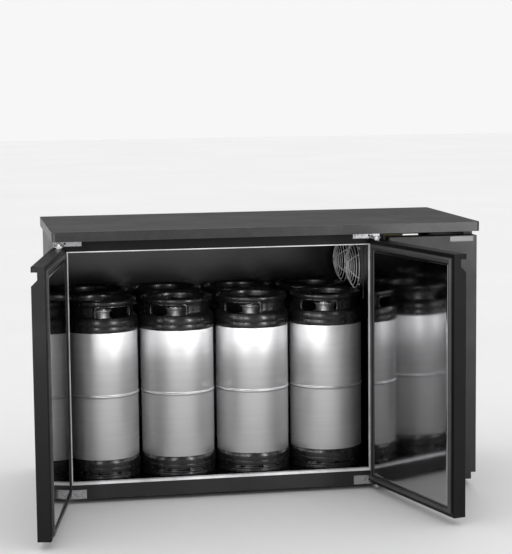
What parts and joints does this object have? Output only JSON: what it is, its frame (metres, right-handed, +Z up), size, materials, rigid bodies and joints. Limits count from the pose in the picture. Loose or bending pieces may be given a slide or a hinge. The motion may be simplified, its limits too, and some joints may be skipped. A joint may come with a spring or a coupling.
{
  "type": "kegerator",
  "caption": "Low insulated keg cooler with a flat worktop, two hinged doors, a fan-cooled interior holding small kegs and a closed machine bay at one side.",
  "frame": {"origin": "on the floor under the middle of the worktop, at the bottom of the centre support foot", "axes": "+Z up, the doors face -Y, the machine bay is at +X"},
  "size_m": [1.4663, 1.0909, 0.875],
  "materials": {
    "worktop_black": "satin black, slightly mottled",
    "board": "pressed board core",
    "case_black": "satin black powder coat",
    "door_black": "satin black powder coat",
    "case_galvanised": "zinc-coated sheet",
    "trim_grey": "light grey edge strip",
    "foam": "closed-cell foam",
    "liner_steel": "polished sheet",
    "nameplate": "satin, blank",
    "inlet_plastic": "moulded",
    "zinc": "bright zinc plate",
    "foot_metal": "zinc-plated",
    "door_panel_gloss": "dark mirror gloss",
    "gasket": "magnetic seal",
    "nylon": "bush",
    "fins": "fins",
    "fan_plastic": "moulded",
    "machine_black": "stoved black",
    "copper": "drawn copper",
    "keg_steel": "horizontal brushing",
    "keg_rubber": "moulded black"
  },
  "bodies": {
    "cabinet": {"back_panel": "case_galvanised", "base_frame": "case_black", "blank_nameplate": "nameplate", "case_screws": "zinc", "compressor": "machine_black", "condenser_coil": "fins", "condenser_shroud": "case_galvanised", "control_box": "inlet_plastic", "drain_pan": "liner_steel", "evaporator_coil": "fins", "evaporator_cover": "liner_steel", "fan_guards": "zinc", "fan_motors": "machine_black", "foot_centre": "foot_metal", "front_frame": "case_black", "hinge_brackets": "zinc", "hinge_pins": "zinc", "inner_liner": "liner_steel", "insulation_foam": "foam", "machine_cover": "case_black", "opening_trim": "trim_grey", "power_inlet": "inlet_plastic", "rear_grille": "case_galvanised", "rear_keg_collars": "keg_rubber", "rear_keg_feet": "keg_rubber", "rear_keg_shells": "keg_steel", "refrigerant_pipes": "copper", "side_panel_left": "case_black", "side_panel_right": "case_black", "worktop": "worktop_black", "worktop_board": "board"},
    "left_door": {"left_door_skin": "door_black", "left_door_core": "foam", "left_door_panel": "door_panel_gloss", "left_door_gasket": "gasket", "left_door_bushes": "nylon"},
    "right_door": {"right_door_skin": "door_black", "right_door_core": "foam", "right_door_panel": "door_panel_gloss", "right_door_gasket": "gasket", "right_door_bushes": "nylon"},
    "keg_1": {"keg_1_shell": "keg_steel", "keg_1_foot": "keg_rubber", "keg_1_collar": "keg_rubber"},
    "keg_2": {"keg_2_shell": "keg_steel", "keg_2_foot": "keg_rubber", "keg_2_collar": "keg_rubber"},
    "keg_3": {"keg_3_shell": "keg_steel", "keg_3_foot": "keg_rubber", "keg_3_collar": "keg_rubber"},
    "keg_4": {"keg_4_shell": "keg_steel", "keg_4_foot": "keg_rubber", "keg_4_collar": "keg_rubber"},
    "evaporator_fan_front": {"evaporator_fan_front": "fan_plastic"},
    "evaporator_fan_rear": {"evaporator_fan_rear": "fan_plastic"},
    "condenser_fan": {"condenser_fan": "fan_plastic"},
    "foot_front_left": {"foot_front_left": "foot_metal"},
    "foot_front_right": {"foot_front_right": "foot_metal"},
    "foot_back_left": {"foot_back_left": "foot_metal"},
    "foot_back_right": {"foot_back_right": "foot_metal"}
  },
  "joints": [
    {"name": "left_door_hinge", "type": "hinge", "parent": "cabinet", "child": "left_door", "pos_m": [-0.664, -0.28, 0.821], "axis": [0, 0, 1], "range_deg": [-9.8, 100.2]},
    {"name": "right_door_hinge", "type": "hinge", "parent": "cabinet", "child": "right_door", "pos_m": [0.35302, -0.28, 0.821], "axis": [0, 0, 1], "range_deg": [-104.4, 2.4]},
    {"name": "keg_1_lift", "type": "slide", "parent": "cabinet", "child": "keg_1", "axis": [0, 0, 1], "range_m": [0, 0.08]},
    {"name": "keg_2_lift", "type": "slide", "parent": "cabinet", "child": "keg_2", "axis": [0, 0, 1], "range_m": [0, 0.08]},
    {"name": "keg_3_lift", "type": "slide", "parent": "cabinet", "child": "keg_3", "axis": [0, 0, 1], "range_m": [0, 0.08]},
    {"name": "keg_4_lift", "type": "slide", "parent": "cabinet", "child": "keg_4", "axis": [0, 0, 1], "range_m": [0, 0.08]},
    {"name": "evaporator_fan_front_spin", "type": "hinge", "parent": "cabinet", "child": "evaporator_fan_front", "pos_m": [0.376, 0.005, 0.708], "axis": [1, 0, 0], "continuous": true},
    {"name": "evaporator_fan_rear_spin", "type": "hinge", "parent": "cabinet", "child": "evaporator_fan_rear", "pos_m": [0.376, 0.18, 0.708], "axis": [1, 0, 0], "continuous": true},
    {"name": "condenser_fan_spin", "type": "hinge", "parent": "cabinet", "child": "condenser_fan", "pos_m": [0.531, 0.212, 0.18], "axis": [0, 1, 0], "continuous": true},
    {"name": "foot_front_left_turn", "type": "hinge", "parent": "cabinet", "child": "foot_front_left", "pos_m": [-0.62, -0.163, 0.015], "axis": [0, 0, 1], "continuous": true},
    {"name": "foot_front_right_turn", "type": "hinge", "parent": "cabinet", "child": "foot_front_right", "pos_m": [0.62, -0.163, 0.015], "axis": [0, 0, 1], "continuous": true},
    {"name": "foot_back_left_turn", "type": "hinge", "parent": "cabinet", "child": "foot_back_left", "pos_m": [-0.62, 0.21, 0.015], "axis": [0, 0, 1], "continuous": true},
    {"name": "foot_back_right_turn", "type": "hinge", "parent": "cabinet", "child": "foot_back_right", "pos_m": [0.62, 0.21, 0.015], "axis": [0, 0, 1], "continuous": true}
  ]
}
